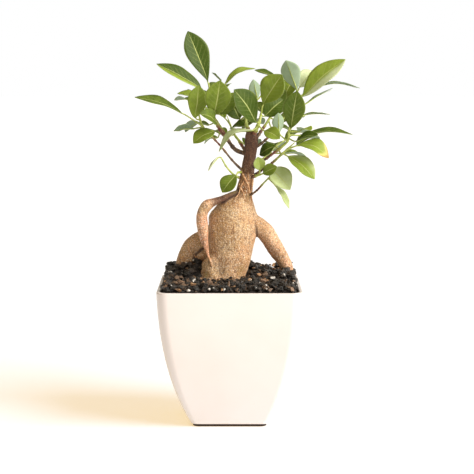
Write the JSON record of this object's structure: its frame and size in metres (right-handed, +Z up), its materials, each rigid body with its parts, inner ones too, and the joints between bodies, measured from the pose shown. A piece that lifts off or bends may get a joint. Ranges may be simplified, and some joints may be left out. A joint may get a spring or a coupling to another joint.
{
  "type": "ficus ginseng bonsai in pot",
  "caption": "Ficus ginseng bonsai with a swollen tan root body on arching roots, a tuft of glossy leaves, in dark bark mix in a white glazed tapered square pot.",
  "frame": {"origin": "middle of the pot's foot, on the surface it stands on", "axes": "+Z up along the pot, -Y towards the viewer of the picture, +X to the viewer's right"},
  "size_m": [0.1923, 0.1416, 0.3328],
  "materials": {
    "glaze": "gloss white",
    "potting_mix": "rough dark bark and lava grit",
    "bark": "matte tan bark",
    "leaf": "glossy green leaf"
  },
  "bodies": {
    "root": {"pot": "glaze", "potting_mix": "potting_mix", "root_body_and_trunk": "bark", "left_shoot": "leaf", "upper_left_shoot": "leaf", "rear_left_shoot": "leaf", "centre_shoot": "leaf", "upper_centre_shoot": "leaf", "upper_right_shoot": "leaf", "right_shoot": "leaf", "drooping_shoot": "leaf", "low_right_shoot": "leaf", "trunk_side_shoot": "leaf", "low_left_leaf": "leaf", "pale_side_leaf": "leaf", "rear_right_shoot": "leaf", "rear_shoot": "leaf", "rear_low_shoot": "leaf"}
  },
  "joints": []
}
